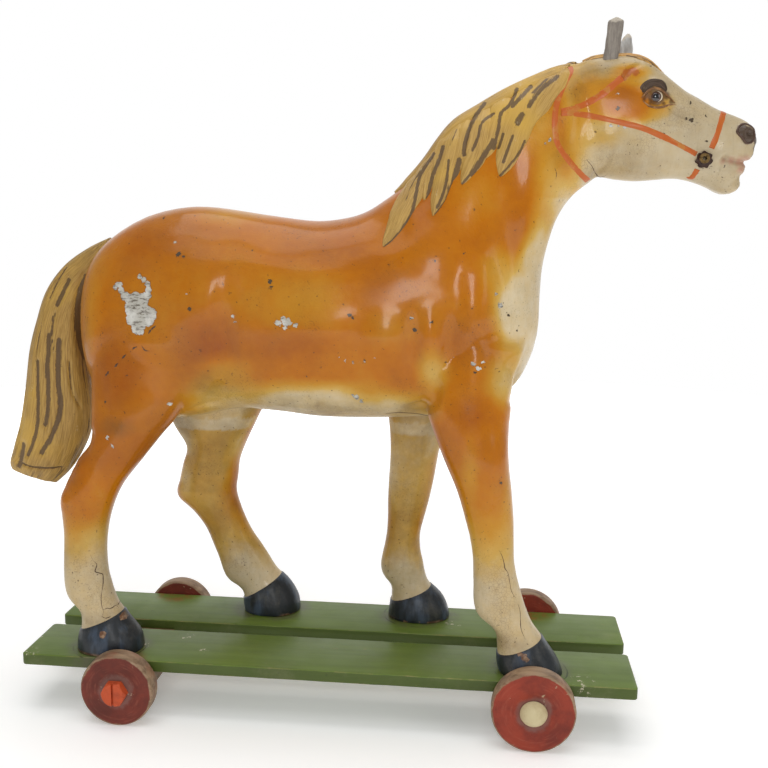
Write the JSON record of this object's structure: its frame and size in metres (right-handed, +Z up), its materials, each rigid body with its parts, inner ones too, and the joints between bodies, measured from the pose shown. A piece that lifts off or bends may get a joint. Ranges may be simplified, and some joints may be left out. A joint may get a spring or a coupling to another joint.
{
  "type": "pull along toy horse",
  "caption": "Pull-along toy horse with a hollow moulded body standing on two planks over cross battens, rolling on turned wooden wheels.",
  "frame": {"origin": "bottom centre of the bounding box, on the floor under the middle of the horse", "axes": "+X towards the nose, +Y to the horse's left, +Z up"},
  "size_m": [0.5633, 0.1786, 0.512],
  "materials": {
    "body_paint": "varnished paint over moulded paper pulp, chipped",
    "hair_paint": "satin paint, combed grooves picked out in brown",
    "ear_wood": "worn grey paint",
    "eye_glass": "dark, polished",
    "rosette": "dark brown paint",
    "brass": "tarnished",
    "core_wood": "bare",
    "plank_green": "worn satin paint",
    "batten_wood": "bare, dusty",
    "steel": "dull",
    "wheel_red": "worn matt paint on the faces, bare rims",
    "bolt_orange": "satin",
    "cap_cream": "yellowed",
    "washer": "dull, dusty"
  },
  "bodies": {
    "horse": {"body_shell_right": "body_paint", "body_shell_left": "body_paint", "tail": "hair_paint", "ear_right": "ear_wood", "ear_left": "ear_wood", "eye_right": "eye_glass", "eye_left": "eye_glass", "bit_rosette_right": "rosette", "bit_rosette_left": "rosette", "eyelet_right": "brass", "eyelet_left": "brass", "leg_core_fore_right": "core_wood", "leg_core_hind_right": "core_wood", "leg_core_hind_left": "core_wood", "leg_core_fore_left": "core_wood", "plank_right": "plank_green", "plank_left": "plank_green", "batten_front": "batten_wood", "batten_rear": "batten_wood", "batten_screws": "steel", "leg_screws": "steel", "axle_screw_front_right": "steel", "axle_screw_front_left": "steel", "axle_bolt_rear_right": "bolt_orange", "axle_bolt_rear_left": "bolt_orange", "axle_cap_right": "cap_cream", "axle_cap_left": "cap_cream", "inner_washers": "washer", "outer_washers": "washer"},
    "wheel_front_right": {"wheel_front_right": "wheel_red"},
    "wheel_front_left": {"wheel_front_left": "wheel_red"},
    "wheel_rear_right": {"wheel_rear_right": "wheel_red"},
    "wheel_rear_left": {"wheel_rear_left": "wheel_red"}
  },
  "joints": [
    {"name": "wheel_front_right_spin", "type": "hinge", "parent": "horse", "child": "wheel_front_right", "pos_m": [0.137, -0.075, 0.03], "axis": [0, 1, 0], "continuous": true},
    {"name": "wheel_front_left_spin", "type": "hinge", "parent": "horse", "child": "wheel_front_left", "pos_m": [0.137, 0.075, 0.03], "axis": [0, 1, 0], "continuous": true},
    {"name": "wheel_rear_right_spin", "type": "hinge", "parent": "horse", "child": "wheel_rear_right", "pos_m": [-0.168, -0.075, 0.0275], "axis": [0, 1, 0], "continuous": true},
    {"name": "wheel_rear_left_spin", "type": "hinge", "parent": "horse", "child": "wheel_rear_left", "pos_m": [-0.168, 0.075, 0.0275], "axis": [0, 1, 0], "continuous": true}
  ]
}
